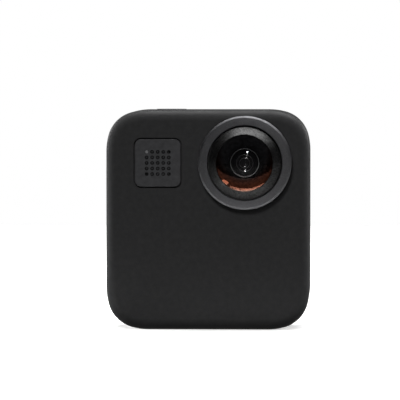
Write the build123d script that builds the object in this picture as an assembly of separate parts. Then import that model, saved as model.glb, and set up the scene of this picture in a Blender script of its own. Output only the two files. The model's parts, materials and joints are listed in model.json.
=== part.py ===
"""Pocket 360 degree camera with two back-to-back dome lenses and folding mount fingers.

Millimetres. X runs to the right as the front is looked at, Y runs from front to back, Z is up.
The origin is the middle of the flat underside.
"""
from build123d import *
import math
import os

# Body shell
BODY_WIDTH = 64.0
BODY_DEPTH = 24.0
BODY_HEIGHT = 69.0
WALL = 1.6
EDGE_FILLET = 3.2
CORNER_LEAD_R = 20.0
TOP_CORNER_R = 10.15
BOTTOM_CORNER_R = 10.4
CORNER_LEAD_ANGLE = math.radians(15)
COVER_DEPTH = 3.4
SEAM_WIDTH = 0.3
SEAM_DEPTH = 0.25
RUNNING_FIT = 0.1
STATIC_FIT = 0.05
OVERRUN = 1.0

FRONT_Y = -BODY_DEPTH / 2
BACK_Y = BODY_DEPTH / 2
SPLIT_Y = BACK_Y - COVER_DEPTH
INSIDE_DEPTH = BODY_DEPTH / 2 - WALL
RIGHT_X = BODY_WIDTH / 2
LEFT_X = -BODY_WIDTH / 2

# Cover gasket and cover screws
GASKET_INSET = 0.55
GASKET_WIDTH = 0.5
GASKET_HEIGHT = 0.3
SCREW_HEAD_R = 1.3
SCREW_HEAD_HEIGHT = 0.7
SCREW_SHANK_R = 0.7
SCREW_LENGTH = 6.0
SCREW_SOCKET_R = 0.55
SCREW_SOCKET_DEPTH = 0.35
BOSS_R = 2.2
TOP_SCREW_INSET_X = 6.4
TOP_SCREW_INSET_Z = 7.0
BOTTOM_SCREW_INSET_X = 6.4
BOTTOM_SCREW_INSET_Z = 8.2

# Lens modules, each the same distance from the right side and from the top.
# Depths are measured outwards from the middle of the body.
LENS_INSET_X = 20.3
LENS_INSET_Z = 16.4
LENS_X = RIGHT_X - LENS_INSET_X
LENS_Z = BODY_HEIGHT - LENS_INSET_Z
DOME_EDGE_R = 8.75
DOME_BULGE = 3.0
DOME_EDGE_HEIGHT = 4.0
DOME_FLANGE_WIDTH = 1.1
DOME_FLANGE_HEIGHT = 2.3
DOME_WALL = 2.3
DOME_CENTRE_THICKNESS = 2.5
RETAINER_WIDTH = 2.5
RETAINER_SKIRT = 1.5
RETAINER_LIP_GAP = 0.1
RETAINER_LIP_LAND = 0.15
GROOVE_WIDTH = 0.35
RING_WIDTH = 3.05
RING_RISE = 3.0
RING_FACE_DROP = 0.35
RING_SEAT_DEPTH = 0.5
RING_CHAMFER = 0.55
RING_SKIRT_WALL = 0.3
RING_INNER_EDGE = 0.25
BARREL_RISE = 1.5
BARREL_STEP = 0.65
BARREL_FLANGE_WIDTH = 1.6
BARREL_FLANGE_HEIGHT = 1.8
SECOND_LENS_INSET = 1.0
SECOND_LENS_RIM = 0.5
SECOND_LENS_HEIGHT = 2.0
SECOND_LENS_BULGE = 3.2
SECOND_LENS_HOLLOW = 2.7
SECOND_LENS_SEAT = 4.0
INNER_LENS_R = 5.5
INNER_LENS_RIM = 0.9
INNER_LENS_BULGE = 0.5
INNER_LENS_HOLLOW = 0.7
INNER_LENS_COUNT = 3
INNER_LENS_SEAT = 2.2
SENSOR_SIDE = 7.6
SENSOR_THICKNESS = 1.2
SENSOR_GAP = 0.2
SENSOR_BOARD_SIDE = 20.0
SENSOR_BOARD_THICKNESS = 1.0
CHASSIS_THICKNESS = 2.0
CHASSIS_WINDOW_R = 4.0

DOME_FLANGE_R = DOME_EDGE_R + DOME_FLANGE_WIDTH
RETAINER_R = DOME_EDGE_R + RETAINER_WIDTH
RING_INNER_R = RETAINER_R + GROOVE_WIDTH
RING_OUTER_R = RING_INNER_R + RING_WIDTH
RING_SKIRT_R = RING_INNER_R + RING_SKIRT_WALL
BARREL_R = RETAINER_R - BARREL_STEP
SECOND_LENS_R = DOME_EDGE_R - SECOND_LENS_INSET
SENSOR_BOARD_TOP = CHASSIS_THICKNESS / 2 + SENSOR_BOARD_THICKNESS
BARREL_TOP = BODY_DEPTH / 2 + BARREL_RISE
DOME_EDGE_DEPTH = BARREL_TOP + DOME_EDGE_HEIGHT
SECOND_LENS_DEPTH = BARREL_TOP - SECOND_LENS_SEAT
RING_TOP = BODY_DEPTH / 2 + RING_RISE
RING_EDGE_TOP = RING_TOP - RING_FACE_DROP
RING_SEAT = BODY_DEPTH / 2 - RING_SEAT_DEPTH

# Microphone grilles
GRILLE_SIDE_SHARE = 0.626
GRILLE_INSET_Z = 16.5
GRILLE_Z = BODY_HEIGHT - GRILLE_INSET_Z
GRILLE_WIDTH = 14.4
GRILLE_HEIGHT = 14.95
GRILLE_CORNER_R = 2.0
GRILLE_THICKNESS = 0.9
GRILLE_EDGE = 0.2
GRILLE_GAP = 0.4
GRILLE_HOLE_R = 0.5
GRILLE_PITCH = 1.74
GRILLE_COUNT = 5
MEMBRANE_THICKNESS = 0.2
MEMBRANE_BORDER = 0.3
MICROPHONE_WIDTH = 3.5
MICROPHONE_HEIGHT = 2.65
MICROPHONE_DEPTH = 1.0
MICROPHONE_SPACING = 5.0
LIGHT_PIPE_R = GRILLE_HOLE_R - STATIC_FIT

GRILLE_SPARE_WIDTH = LENS_X - RING_OUTER_R - LEFT_X - GRILLE_WIDTH
GRILLE_X = LEFT_X + GRILLE_SPARE_WIDTH * GRILLE_SIDE_SHARE + GRILLE_WIDTH / 2

# Screen in the rear cover
SCREEN_SIDE_INSET = 9.0
SCREEN_LENS_GAP = 2.45
SCREEN_BASE_Z = 5.0
SCREEN_CORNER_R = 3.5
SCREEN_GLASS_THICKNESS = 0.8
SCREEN_GAP = 0.1
SCREEN_ADHESIVE = 0.15
SCREEN_BORDER = 2.0
DISPLAY_THICKNESS = 1.8
DISPLAY_GAP = 0.2

SCREEN_WIDTH = BODY_WIDTH - 2 * SCREEN_SIDE_INSET
SCREEN_HEIGHT = LENS_Z - RING_OUTER_R - SCREEN_LENS_GAP - SCREEN_BASE_Z

# Shutter button on the top, mode button on the right side
SHUTTER_INSET_X = 20.1
SHUTTER_X = LEFT_X + SHUTTER_INSET_X
SHUTTER_LENGTH = 9.9
SHUTTER_WIDTH = 7.0
SHUTTER_PROUD = 0.25
MODE_Z = 30.0
MODE_LENGTH = 9.0
MODE_WIDTH = 4.6
MODE_PROUD = 0.0
BUTTON_GAP = 0.15
BUTTON_TRAVEL = 0.5
BUTTON_ROUNDING = 0.35
BUTTON_FLANGE_WIDTH = 0.9
BUTTON_FLANGE_HEIGHT = 0.8
BUTTON_REST_GAP = 0.25
SEAL_GAP = 0.1
SEAL_THICKNESS = 0.5
SWITCH_LENGTH = 5.0
SWITCH_WIDTH = 3.4
SWITCH_HEIGHT = 1.3
BUTTON_BOARD_THICKNESS = 0.8
BUTTON_BOARD_WIDTH = 6.0
BUTTON_BOARD_LENGTH = 11.0
CHASSIS_BUTTON_GAP = 0.5

# Battery, tray and boards
BATTERY_EDGE_R = 1.5
BAY_CLEARANCE = 0.3
BAY_END_INSET = 14.7
BAY_LENS_GAP = 2.0
TRAY_WALL = 0.8
CONTACT_COUNT = 4
CONTACT_MARGIN = 1.1
CONTACT_WIDTH_SHARE = 2 / 3
CONTACT_HEIGHT_SHARE = 0.41
PULL_TAB_WIDTH = 6.0
PULL_TAB_THICKNESS = 0.4
PULL_TAB_HEIGHT_SHARE = 0.61
BOARD_THICKNESS = 1.0
BOARD_BASE_Z = 11.6
BOARD_SIDE_GAP = 4.6
PROCESSOR_SIDE = 14.0
PROCESSOR_THICKNESS = 1.2
MEMORY_SIDE = 8.0
CHIP_SPACING = 15.0
SPREADER_THICKNESS = 0.8
SPREADER_GAP = 1.2
SPREADER_SIDE_MARGIN = 8.4
SPREADER_END_MARGIN = 3.4
SPEAKER_DEPTH = 3.2
SPEAKER_WIDTH = 10.0
SPEAKER_HEIGHT = 9.0
SPEAKER_Z = 18.2
SPEAKER_HOLE_R = 0.45
SPEAKER_HOLE_PITCH = 1.8
SPEAKER_HOLE_ROWS = 3
SPEAKER_EDGE_R = 0.6

# Side door, its hinge and its latch
DOOR_BASE_Z = 15.8
DOOR_TOP_INSET = 16.55
DOOR_THICKNESS = 2.0
DOOR_PROUD = 0.1
DOOR_GAP = 0.15
DOOR_CORNER_R = 2.4
DOOR_EDGE = 0.25
DOOR_SETBACK = 4.0
DOOR_FRONT_LEDGE = 0.8
DOOR_REAR_LEDGE = 2.6
DOOR_SEAT_GAP = 0.5
DOOR_FRAME_WALL = 1.6
DOOR_FRAME_MARGIN = 2.1
HINGE_PIN_R = 0.5
HINGE_PIN_BITE = 1.2
DOOR_GASKET_WIDTH = 0.6
DOOR_GASKET_HEIGHT = 0.4
DOOR_GASKET_EDGE = 0.1
DOOR_GASKET_INSET = 0.4
DOOR_GASKET_CORNER_R = 2.0
LATCH_WIDTH = 4.0
LATCH_LENGTH = 9.0
LATCH_TRAVEL = 2.5
LATCH_THICKNESS = 1.0
LATCH_SETBACK = 3.4
LATCH_GAP = 0.15
LATCH_STEM_WIDTH = 2.0
LATCH_STEM_LENGTH = 4.0
LATCH_FOOT_THICKNESS = 0.3
LATCH_FOOT_OVERLAP = 0.6
LATCH_FOOT_GAP = 0.1
LATCH_RIB_COUNT = 4
LATCH_RIB_DEPTH = 0.3
LATCH_RIB_WIDTH = 0.6

DISPLAY_FRONT_Y = BACK_Y - SCREEN_GLASS_THICKNESS - DISPLAY_THICKNESS
BOARD_REAR_Y = DISPLAY_FRONT_Y - SPREADER_GAP - SPREADER_THICKNESS - PROCESSOR_THICKNESS
TRAY_REAR_Y = BOARD_REAR_Y - BOARD_THICKNESS
BAY_REAR_Y = TRAY_REAR_Y - TRAY_WALL
DOOR_FRONT_Y = FRONT_Y + DOOR_SETBACK
DOOR_REAR_Y = BAY_REAR_Y + DOOR_REAR_LEDGE
DOOR_WIDTH = DOOR_REAR_Y - DOOR_FRONT_Y
DOOR_OUTER_X = LEFT_X - DOOR_PROUD
DOOR_INNER_X = DOOR_OUTER_X + DOOR_THICKNESS
HINGE_X = DOOR_OUTER_X + DOOR_THICKNESS / 2
HINGE_Y = DOOR_REAR_Y - DOOR_THICKNESS / 2
DOOR_TOP_Z = BODY_HEIGHT - DOOR_TOP_INSET
DOOR_HEIGHT = DOOR_TOP_Z - DOOR_BASE_Z
POCKET_X = DOOR_INNER_X + DOOR_SEAT_GAP
FRAME_X = POCKET_X + DOOR_FRAME_WALL

BOARD_TOP_Z = LENS_Z - BARREL_R - BARREL_FLANGE_WIDTH - BAY_LENS_GAP
BAY_FRONT_Y = DOOR_FRONT_Y + DOOR_FRONT_LEDGE
BAY_MIDDLE_Y = (BAY_FRONT_Y + BAY_REAR_Y) / 2
BAY_BASE_Z = DOOR_BASE_Z + DOOR_FRONT_LEDGE + TRAY_WALL
BAY_TOP_Z = BOARD_TOP_Z - TRAY_WALL
BAY_END_X = RIGHT_X - BAY_END_INSET
BATTERY_THICKNESS = BAY_REAR_Y - BAY_FRONT_Y - 2 * BAY_CLEARANCE
BATTERY_HEIGHT = BAY_TOP_Z - BAY_BASE_Z - 2 * BAY_CLEARANCE
BATTERY_END_X = BAY_END_X - BAY_CLEARANCE
CONTACT_FIELD = BATTERY_THICKNESS - 2 * CONTACT_MARGIN
CONTACT_PITCH = CONTACT_FIELD / (CONTACT_COUNT - 1 + CONTACT_WIDTH_SHARE)
CONTACT_WIDTH = CONTACT_PITCH * CONTACT_WIDTH_SHARE
CONTACT_HEIGHT = BATTERY_HEIGHT * CONTACT_HEIGHT_SHARE
PULL_TAB_HEIGHT = BATTERY_HEIGHT * PULL_TAB_HEIGHT_SHARE

# USB-C socket, memory card and card socket behind the door
USB_WIDTH = 8.94
USB_HEIGHT = 3.26
USB_LENGTH = 7.3
USB_SHELL = 0.3
USB_TONGUE_WIDTH = 6.7
USB_TONGUE_THICKNESS = 0.7
USB_TONGUE_SETBACK = 1.2
USB_BACK_WALL = 0.8
CARD_LENGTH = 15.0
CARD_WIDTH = 11.0
CARD_THICKNESS = 1.0
CARD_GAP = 0.15
CARD_TRAVEL = 0.8
CARD_CORNER_R = 0.8
CARD_SOCKET_WALL = 0.35
CARD_SOCKET_LIFT = 3.7
CARD_RECESS = 0.3
IO_BOARD_THICKNESS = 0.8
IO_BOARD_MARGIN = 0.5
SOCKET_SETBACK = 0.1

# Folding fingers under the body
FINGER_THICKNESS = 3.0
FINGER_HOLE_R = 2.5
FINGER_REACH = 10.8
FINGER_SPACING = 3.2
FINGER_RECESS = 0.3
FINGER_EDGE_R = 0.4
FINGER_NECK = 1.9
LUG_THICKNESS = 1.6
LUG_ROUNDING = 1.4
FINGER_PIN_R = 0.75
FINGER_PIN_FIT = 0.1
BASE_THICKNESS = 0.8
BASE_GAP = 0.25
BASE_HALF_LENGTH = 12.5
BASE_SCREW_X = 9.5
BASE_SCREW_INSET = 3.5
BASE_SCREW_HEAD_R = 1.5
BASE_SCREW_HEAD_HEIGHT = 0.5
BASE_SCREW_R = 0.7
BASE_SCREW_LENGTH = 2.0
FINGER_WELL_GAP = 0.35
FINGER_WELL_END_GAP = 0.7
LUG_WELL_GAP = 0.15
WELL_SEAM_GAP = 0.75
WELL_ROOF = 1.7
WELL_WALL = 1.4
WELL_END_WALL = 3.4
NAIL_NOTCH_WIDTH = 8.0
NAIL_NOTCH_REACH = 2.0
NAIL_NOTCH_DEPTH = 1.6
BASE_CORNER_R = 1.0

PIVOT_X = (FINGER_SPACING + FINGER_THICKNESS) / 2
PIVOT_Z = FINGER_RECESS + FINGER_THICKNESS / 2
BASE_BOTTOM_Z = FINGER_RECESS + FINGER_THICKNESS + BASE_GAP
WELL_TOP_Z = BASE_BOTTOM_Z + BASE_THICKNESS
WELL_HALF_WIDTH = SPLIT_Y - WELL_SEAM_GAP
FINGER_TIP_R = WELL_HALF_WIDTH - FINGER_WELL_GAP
LUG_OUTER_Y = WELL_HALF_WIDTH - LUG_WELL_GAP
LUG_INNER_Y = LUG_OUTER_Y - LUG_THICKNESS
KNUCKLE_WIDTH = 2 * (LUG_INNER_Y - RUNNING_FIT)
BASE_SCREW_Y = LUG_OUTER_Y - BASE_SCREW_INSET
WELL_HALF_LENGTH = PIVOT_X + FINGER_REACH + FINGER_TIP_R + FINGER_WELL_END_GAP
FINGER_HOLE_X = PIVOT_X + FINGER_REACH


def corner_reach(lead_r, core_r):
    """How far a corner of three arcs reaches along each of its two sides."""
    turn = CORNER_LEAD_ANGLE
    return lead_r * (1 + math.sin(turn) - math.cos(turn)) + core_r * (math.cos(turn) - math.sin(turn))


def body_outline(inset=0):
    """The front view outline of the body, drawn in by an even distance."""
    lead_r = CORNER_LEAD_R - inset
    top_r = TOP_CORNER_R - inset
    bottom_r = BOTTOM_CORNER_R - inset
    top_reach = corner_reach(lead_r, top_r)
    bottom_reach = corner_reach(lead_r, bottom_r)
    half = BODY_WIDTH / 2 - inset
    low = inset
    high = BODY_HEIGHT - inset
    lead_turn = math.degrees(CORNER_LEAD_ANGLE)
    core_turn = 90 - 2 * lead_turn
    sides = [
        ((half, low + bottom_reach), (half, high - top_reach), top_r),
        ((half - top_reach, high), (top_reach - half, high), top_r),
        ((-half, high - top_reach), (-half, low + bottom_reach), bottom_r),
        ((bottom_reach - half, low), (half - bottom_reach, low), bottom_r),
    ]
    edges = []
    for start, end, core_r in sides:
        side = Line(start, end)
        lead_in = JernArc(side @ 1, side % 1, lead_r, lead_turn)
        core = JernArc(lead_in @ 1, lead_in % 1, core_r, core_turn)
        lead_out = JernArc(core @ 1, core % 1, lead_r, lead_turn)
        edges += [side, lead_in, core, lead_out]
    return make_face(edges)


def slab_y(face, y0, y1):
    """A sketch in X and Z, made solid from y0 back to y1."""
    return extrude(Plane.XZ.offset(-y0) * face, amount=y1 - y0, dir=(0, 1, 0))


def slab_x(face, x0, x1):
    """A sketch in Y and Z, made solid from x0 to x1."""
    return extrude(Plane.YZ.offset(x0) * face, amount=x1 - x0, dir=(1, 0, 0))


def slab_z(face, z0, z1):
    """A sketch in X and Y, made solid from z0 up to z1."""
    return extrude(Plane.XY.offset(z0) * face, amount=z1 - z0, dir=(0, 0, 1))


def block(x0, x1, y0, y1, z0, z1):
    """A box from its six faces."""
    middle = ((x0 + x1) / 2, (y0 + y1) / 2, (z0 + z1) / 2)
    return Pos(*middle) * Box(x1 - x0, y1 - y0, z1 - z0)


def rod_y(x, z, radius, y0, y1):
    """A round bar along Y."""
    return slab_y(Pos(x, z) * Circle(radius), y0, y1)


def rounded_slab(width, height, corner_r, x, z, y0, y1):
    """A rounded rectangle about (x, z), made solid from y0 back to y1."""
    return slab_y(Pos(x, z) * RectangleRounded(width, height, corner_r), y0, y1)


def facing(side, near, far):
    """Depths outwards from the middle of the body as y0 and y1; side is -1 in front, 1 behind."""
    return min(side * near, side * far), max(side * near, side * far)


def group(solids):
    """Separate solids kept together as one node."""
    return Compound(list(solids))


def screw_places():
    """Where the four cover screws stand, as (x, z)."""
    top_x = RIGHT_X - TOP_SCREW_INSET_X
    top_z = BODY_HEIGHT - TOP_SCREW_INSET_Z
    bottom_x = RIGHT_X - BOTTOM_SCREW_INSET_X
    places = []
    for hand in (-1, 1):
        places.append((hand * top_x, top_z))
        places.append((hand * bottom_x, BOTTOM_SCREW_INSET_Z))
    return places


def rounded_body(inset, edge_r):
    """The whole body, drawn in evenly, with its front and back edges rounded."""
    solid = slab_y(body_outline(inset), FRONT_Y + inset, BACK_Y - inset)
    by_depth = solid.faces().sort_by(Axis.Y)
    return fillet(by_depth[0].edges() + by_depth[-1].edges(), edge_r)


def lens_hole(side):
    """The round hole for a lens, through the front or the back wall, and the ring's seat in it."""
    y0, y1 = facing(side, INSIDE_DEPTH - OVERRUN, BODY_DEPTH / 2 + OVERRUN)
    hole = rod_y(LENS_X, LENS_Z, RING_SKIRT_R + STATIC_FIT, y0, y1)
    y0, y1 = facing(side, RING_SEAT, BODY_DEPTH / 2 + OVERRUN)
    return hole + rod_y(LENS_X, LENS_Z, RING_OUTER_R + STATIC_FIT, y0, y1)


def grille_recess(side):
    """The shallow seat of a microphone grille and the smaller opening behind it."""
    seat = BODY_DEPTH / 2 - GRILLE_THICKNESS
    y0, y1 = facing(side, seat, BODY_DEPTH / 2 + OVERRUN)
    width = GRILLE_WIDTH + 2 * GRILLE_GAP
    height = GRILLE_HEIGHT + 2 * GRILLE_GAP
    recess = rounded_slab(width, height, GRILLE_CORNER_R + GRILLE_GAP, GRILLE_X, GRILLE_Z, y0, y1)
    y0, y1 = facing(side, INSIDE_DEPTH - OVERRUN, seat)
    opening = grille_field() + 2 * MEMBRANE_BORDER
    return recess + slab_y(Pos(GRILLE_X, GRILLE_Z) * Rectangle(opening, opening), y0, y1)


def grille_field():
    """The width that the rows of microphone holes take."""
    return (GRILLE_COUNT - 1) * GRILLE_PITCH + 2 * GRILLE_HOLE_R


def grille_holes():
    """The places of the microphone holes, row by row from the lowest."""
    start = -(GRILLE_COUNT - 1) / 2
    places = []
    for row in range(GRILLE_COUNT):
        for column in range(GRILLE_COUNT):
            x = GRILLE_X + (start + column) * GRILLE_PITCH
            z = GRILLE_Z + (start + row) * GRILLE_PITCH
            places.append((x, z))
    return places


def gasket_ring(spare):
    """The outline of the cover gasket, or of its groove with some spare room."""
    outer = body_outline(GASKET_INSET - spare)
    return outer - body_outline(GASKET_INSET + GASKET_WIDTH + spare)


def seam_groove():
    """The fine line round the outside where the front housing and the rear cover meet."""
    ring = body_outline(-OVERRUN) - body_outline(SEAM_DEPTH)
    return slab_y(ring, SPLIT_Y - SEAM_WIDTH / 2, SPLIT_Y + SEAM_WIDTH / 2)


def door_sketch(spare):
    """The side view of the door: rounded at the free edge, square at the hinge."""
    width = DOOR_WIDTH + 2 * spare
    height = DOOR_HEIGHT + 2 * spare
    sheet = Rectangle(width, height)
    free_corners = sheet.vertices().sort_by(Axis.X)[:2]
    sheet = fillet(free_corners, DOOR_CORNER_R + spare)
    return Pos((DOOR_FRONT_Y + DOOR_REAR_Y) / 2, (DOOR_BASE_Z + DOOR_TOP_Z) / 2) * sheet


def usb_place():
    """The middle of the USB-C socket as (y, z)."""
    return BAY_MIDDLE_Y, io_board_base() + IO_BOARD_THICKNESS + USB_HEIGHT / 2


def card_socket_base():
    return BOARD_TOP_Z + CARD_SOCKET_LIFT


def card_room():
    """The height inside the card socket."""
    return CARD_THICKNESS + 2 * CARD_GAP


def card_middle_z():
    return card_socket_base() + CARD_SOCKET_WALL + card_room() / 2


def io_board_base():
    return card_socket_base() + card_room() + 2 * CARD_SOCKET_WALL


def card_end_x():
    """The inner end of the memory card at rest."""
    return POCKET_X + CARD_RECESS + CARD_LENGTH


def card_socket_end_x():
    return card_end_x() + CARD_TRAVEL + CARD_GAP + CARD_SOCKET_WALL


def side_bay_cuts():
    """The door's pocket and the openings for battery, card and USB-C plug behind it."""
    pocket = slab_x(door_sketch(DOOR_GAP), LEFT_X - OVERRUN, POCKET_X)
    x0 = POCKET_X - OVERRUN
    x1 = FRAME_X + OVERRUN
    bay = block(x0, x1, BAY_FRONT_Y, BAY_REAR_Y, BAY_BASE_Z, BAY_TOP_Z)
    socket_hole = SlotOverall(USB_WIDTH + 2 * DOOR_GAP, USB_HEIGHT + 2 * DOOR_GAP)
    socket = slab_x(Pos(*usb_place()) * socket_hole, x0, x1)
    card_hole = Rectangle(CARD_WIDTH + 2 * CARD_GAP, card_room())
    card = slab_x(Pos(BAY_MIDDLE_Y, card_middle_z()) * card_hole, x0, x1)
    pin_hole = hinge_pin(STATIC_FIT)
    return pocket + bay + socket + card + pin_hole


def hinge_pin(spare):
    """The door's hinge pin, or with spare room the hole for it."""
    low = DOOR_BASE_Z - DOOR_GAP - HINGE_PIN_BITE - spare
    high = DOOR_TOP_Z + DOOR_GAP + HINGE_PIN_BITE + spare
    return slab_z(Pos(HINGE_X, HINGE_Y) * Circle(HINGE_PIN_R + spare), low, high)


def finger_well():
    """The recess in the underside that the folded fingers lie in."""
    plan = SlotOverall(2 * WELL_HALF_LENGTH, 2 * WELL_HALF_WIDTH)
    well = slab_z(plan, -OVERRUN, WELL_TOP_Z)
    notch_half = WELL_HALF_LENGTH + NAIL_NOTCH_REACH
    notch = slab_z(SlotOverall(2 * notch_half, NAIL_NOTCH_WIDTH), -OVERRUN, NAIL_NOTCH_DEPTH)
    return well + notch


def base_screw_places():
    places = []
    for x in (-BASE_SCREW_X, BASE_SCREW_X):
        for y in (-BASE_SCREW_Y, BASE_SCREW_Y):
            places.append((x, y))
    return places


def speaker_holes():
    """Rows of small sound holes through the right wall."""
    start = -(SPEAKER_HOLE_ROWS - 1) / 2
    holes = []
    for row in range(SPEAKER_HOLE_ROWS):
        for column in range(SPEAKER_HOLE_ROWS):
            y = (start + column) * SPEAKER_HOLE_PITCH
            z = SPEAKER_Z + (start + row) * SPEAKER_HOLE_PITCH
            hole = Pos(y, z) * Circle(SPEAKER_HOLE_R)
            holes.append(slab_x(hole, RIGHT_X - WALL - STATIC_FIT, RIGHT_X + OVERRUN))
    return holes


def front_housing():
    """The front face and all four side walls, with the bosses inside."""
    body = rounded_body(0, EDGE_FILLET)
    shell = body - rounded_body(WALL, EDGE_FILLET - WALL)
    shell -= block(LEFT_X, RIGHT_X, SPLIT_Y, BACK_Y, 0, BODY_HEIGHT)
    frame = block(LEFT_X + WALL, FRAME_X, FRONT_Y + WALL, SPLIT_Y,
                  DOOR_BASE_Z - DOOR_FRAME_MARGIN, DOOR_TOP_Z + DOOR_FRAME_MARGIN)
    well_half_x = WELL_HALF_LENGTH + WELL_END_WALL
    well_front_y = -WELL_HALF_WIDTH - WELL_WALL
    well_walls = block(-well_half_x, well_half_x, well_front_y, SPLIT_Y, 0, WELL_TOP_Z + WELL_ROOF)
    shell = shell + frame + (well_walls & body)
    for x, z in screw_places():
        shell += rod_y(x, z, BOSS_R, FRONT_Y + WALL, SPLIT_Y)
    for x, z in screw_places():
        shell -= rod_y(x, z, SCREW_SHANK_R + STATIC_FIT, screw_tip_y() - STATIC_FIT, SPLIT_Y)
    shell = shell - slab_y(gasket_ring(STATIC_FIT), SPLIT_Y - GASKET_HEIGHT, SPLIT_Y) - seam_groove()
    shell = shell - lens_hole(-1) - grille_recess(-1) - side_bay_cuts() - finger_well()
    shell -= button_hole(shutter_plane(), SHUTTER_LENGTH, SHUTTER_WIDTH)
    shell -= button_hole(mode_plane(), MODE_LENGTH, MODE_WIDTH)
    shell -= speaker_holes()
    for x, y in base_screw_places():
        hole = Pos(x, y) * Circle(BASE_SCREW_R + STATIC_FIT)
        shell -= slab_z(hole, WELL_TOP_Z, base_screw_tip_z() + STATIC_FIT)
    return shell


def screw_tip_y():
    return BACK_Y - SCREW_HEAD_HEIGHT - SCREW_LENGTH


def base_screw_tip_z():
    return BASE_BOTTOM_Z + BASE_SCREW_LENGTH


def rear_cover():
    """The back shell with the seats of the screen, the rear lens and the rear grille."""
    cover = rounded_body(0, EDGE_FILLET) - rounded_body(WALL, EDGE_FILLET - WALL)
    cover -= block(LEFT_X, RIGHT_X, FRONT_Y, SPLIT_Y, 0, BODY_HEIGHT)
    for x, z in screw_places():
        cover += rod_y(x, z, BOSS_R, SPLIT_Y, BACK_Y - WALL)
    for x, z in screw_places():
        cover -= rod_y(x, z, SCREW_SHANK_R + STATIC_FIT, SPLIT_Y, BACK_Y + OVERRUN)
        head_y = BACK_Y - SCREW_HEAD_HEIGHT
        cover -= rod_y(x, z, SCREW_HEAD_R + STATIC_FIT, head_y, BACK_Y + OVERRUN)
    cover = cover - lens_hole(1) - grille_recess(1) - seam_groove()
    seat_y = BACK_Y - SCREEN_GLASS_THICKNESS - SCREEN_ADHESIVE
    cover -= screen_slab(SCREEN_GAP, seat_y, BACK_Y + OVERRUN)
    return cover - screen_slab(-SCREEN_BORDER, SPLIT_Y, BACK_Y)


def screen_slab(spare, y0, y1):
    """The outline of the screen, grown or drawn in, made solid."""
    width = SCREEN_WIDTH + 2 * spare
    height = SCREEN_HEIGHT + 2 * spare
    middle_z = SCREEN_BASE_Z + SCREEN_HEIGHT / 2
    return rounded_slab(width, height, SCREEN_CORNER_R + spare, 0, middle_z, y0, y1)


def cover_gasket():
    return slab_y(gasket_ring(0), SPLIT_Y - GASKET_HEIGHT, SPLIT_Y)


def cover_screws():
    screws = []
    head_y = BACK_Y - SCREW_HEAD_HEIGHT
    for x, z in screw_places():
        screw = rod_y(x, z, SCREW_HEAD_R, head_y, BACK_Y - STATIC_FIT)
        screw += rod_y(x, z, SCREW_SHANK_R, screw_tip_y(), head_y)
        socket = Pos(x, z) * RegularPolygon(SCREW_SOCKET_R, 6)
        screw -= slab_y(socket, BACK_Y - STATIC_FIT - SCREW_SOCKET_DEPTH, BACK_Y)
        screws.append(screw)
    return group(screws)


def screen_parts():
    """Cover glass, adhesive frame and display panel."""
    glass_y = BACK_Y - SCREEN_GLASS_THICKNESS
    glass = screen_slab(0, glass_y, BACK_Y)
    adhesive = screen_slab(0, glass_y - SCREEN_ADHESIVE, glass_y)
    adhesive -= screen_slab(-SCREEN_BORDER, glass_y - SCREEN_ADHESIVE, glass_y)
    panel = screen_slab(-SCREEN_BORDER - DISPLAY_GAP, glass_y - DISPLAY_THICKNESS, glass_y)
    return {"screen_glass": glass, "screen_adhesive": adhesive, "display_panel": panel}


def chassis():
    """The upright plate between the two lens modules."""
    left_x = chassis_left_x()
    right_x = RIGHT_X + button_board_top() - BUTTON_BOARD_THICKNESS - CHASSIS_BUTTON_GAP
    plate = slab_y(body_outline(WALL + STATIC_FIT), -CHASSIS_THICKNESS / 2, CHASSIS_THICKNESS / 2)
    keep = block(left_x, right_x, -CHASSIS_THICKNESS, CHASSIS_THICKNESS, BOARD_TOP_Z, BODY_HEIGHT)
    plate = plate & keep
    plate -= rod_y(LENS_X, LENS_Z, CHASSIS_WINDOW_R, -CHASSIS_THICKNESS, CHASSIS_THICKNESS)
    for x, z in screw_places():
        plate -= rod_y(x, z, BOSS_R + STATIC_FIT, -CHASSIS_THICKNESS, CHASSIS_THICKNESS)
    return plate


def chassis_left_x():
    return SHUTTER_X + SHUTTER_LENGTH / 2 + BUTTON_FLANGE_WIDTH + CHASSIS_BUTTON_GAP


def lens_plane(side):
    """A plane through the lens axis: X across, and depth outwards from the middle as its Y."""
    return Plane(origin=(LENS_X, 0, LENS_Z), x_dir=(1, 0, 0), z_dir=(0, 0, side))


def turned(edges, side):
    """A closed half profile of radius and depth, turned about the lens axis."""
    axis = Axis((LENS_X, 0, LENS_Z), (0, 1, 0))
    return revolve(lens_plane(side) * make_face(edges), axis=axis, revolution_arc=360)


def turned_points(points, side):
    """The same from a list of corner points."""
    return turned([Line(a, b) for a, b in zip(points, points[1:] + points[:1])], side)


def cap(radius, base, bulge):
    """The arc of a spherical face, from the axis out to its edge."""
    sphere_r = (radius ** 2 + bulge ** 2) / (2 * bulge)
    centre = base + bulge - sphere_r
    halfway = radius / 2
    return ThreePointArc((0, base + bulge),
                         (halfway, centre + math.sqrt(sphere_r ** 2 - halfway ** 2)),
                         (radius, base))


def lens_element(rim_r, face_r, base, top, bulge, hollow_r, hollow, side):
    """A lens that bulges outwards in front and is hollow behind."""
    edges = [
        Line((0, base + hollow), (0, top + bulge)),
        cap(face_r, top, bulge),
        Line((face_r, top), (rim_r, top)),
        Line((rim_r, top), (rim_r, base)),
        Line((rim_r, base), (hollow_r, base)),
        cap(hollow_r, base, hollow),
    ]
    return turned(edges, side)


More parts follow.
